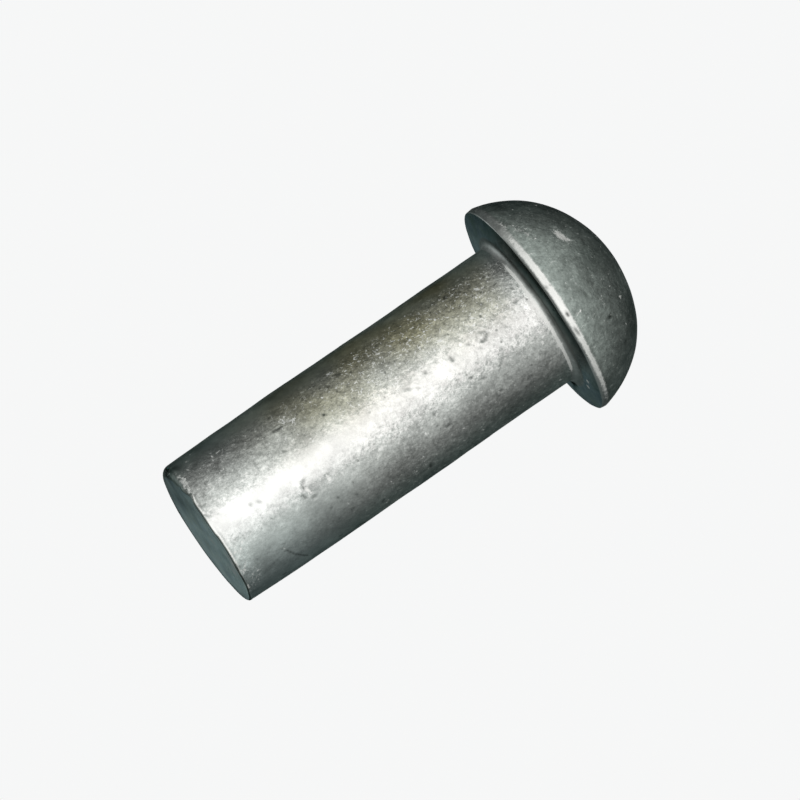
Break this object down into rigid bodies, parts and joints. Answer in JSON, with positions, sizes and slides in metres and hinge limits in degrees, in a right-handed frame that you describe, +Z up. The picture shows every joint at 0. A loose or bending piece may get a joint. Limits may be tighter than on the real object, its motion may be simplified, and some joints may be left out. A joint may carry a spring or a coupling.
{
  "type": "round head solid rivet",
  "caption": "Solid steel rivet with a round head and a plain straight shank, forged in one piece and sheared flat at the tail.",
  "frame": {"origin": "centre of the sheared tail face, which the rivet stands on", "axes": "+Z up the shank to the head; the rivet is round about Z, so X and Y are free"},
  "size_m": [0.03, 0.03, 0.0624],
  "materials": {
    "forged_steel": "bare forged steel, satin grey with fine pitting"
  },
  "bodies": {
    "root": {"rivet": "forged_steel"}
  },
  "joints": []
}
